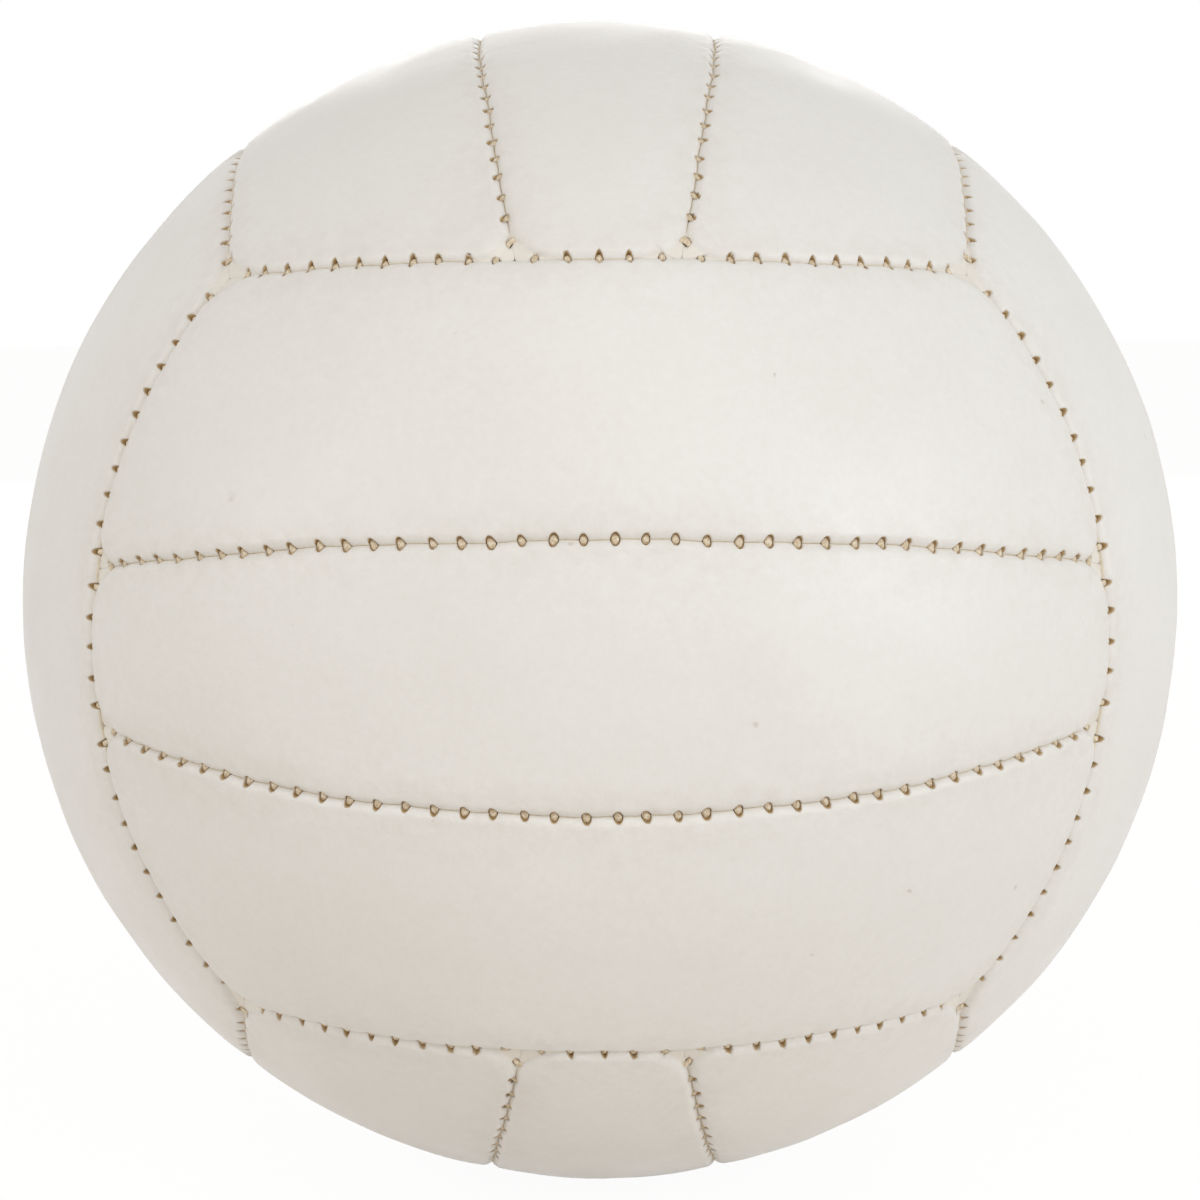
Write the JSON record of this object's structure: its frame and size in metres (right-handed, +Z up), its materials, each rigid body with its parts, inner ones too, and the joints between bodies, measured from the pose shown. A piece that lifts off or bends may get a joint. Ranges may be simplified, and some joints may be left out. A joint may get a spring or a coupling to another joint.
{
  "type": "gaelic football",
  "caption": "Round leather gaelic football of hand-stitched strip panels over a lined, inflated bladder with a needle valve.",
  "frame": {"origin": "centre of the ball", "axes": "+Z up, -Y towards the viewer of the picture, +Y out along the valve's needle bore"},
  "size_m": [0.2196, 0.2195, 0.2196],
  "materials": {
    "leather": "cream white, fine grain, satin",
    "lining": "plain woven cloth, matt",
    "thread": "tan waxed thread, dull sheen",
    "bladder": "matt black rubber",
    "valve": "moulded dark rubber, satin",
    "plug": "moulded black rubber, satin"
  },
  "bodies": {
    "ball": {"front_lower_panel": "leather", "front_middle_panel": "leather", "front_upper_panel": "leather", "left_front_panel": "leather", "left_middle_panel": "leather", "left_rear_panel": "leather", "bottom_left_panel": "leather", "bottom_middle_panel": "leather", "bottom_right_panel": "leather", "back_lower_panel": "leather", "back_middle_panel": "leather", "back_upper_panel": "leather", "right_front_panel": "leather", "right_middle_panel": "leather", "right_rear_panel": "leather", "top_left_panel": "leather", "top_middle_panel": "leather", "top_right_panel": "leather", "front_lower_lining": "lining", "front_middle_lining": "lining", "front_upper_lining": "lining", "left_front_lining": "lining", "left_middle_lining": "lining", "left_rear_lining": "lining", "bottom_left_lining": "lining", "bottom_middle_lining": "lining", "bottom_right_lining": "lining", "back_lower_lining": "lining", "back_middle_lining": "lining", "back_upper_lining": "lining", "right_front_lining": "lining", "right_middle_lining": "lining", "right_rear_lining": "lining", "top_left_lining": "lining", "top_middle_lining": "lining", "top_right_lining": "lining", "front_strip_stitching": "thread", "left_strip_stitching": "thread", "bottom_strip_stitching": "thread", "back_strip_stitching": "thread", "right_strip_stitching": "thread", "top_strip_stitching": "thread", "front_edge_stitching": "thread", "left_edge_stitching": "thread", "bottom_edge_stitching": "thread", "back_edge_stitching": "thread", "right_edge_stitching": "thread", "top_edge_stitching": "thread", "bladder": "bladder", "valve_stem": "valve"},
    "plug": {"valve_plug": "plug"}
  },
  "joints": [
    {"name": "valve_plug_pull", "type": "slide", "parent": "ball", "child": "plug", "axis": [0, 1, 0], "range_m": [0, 0.02]}
  ]
}
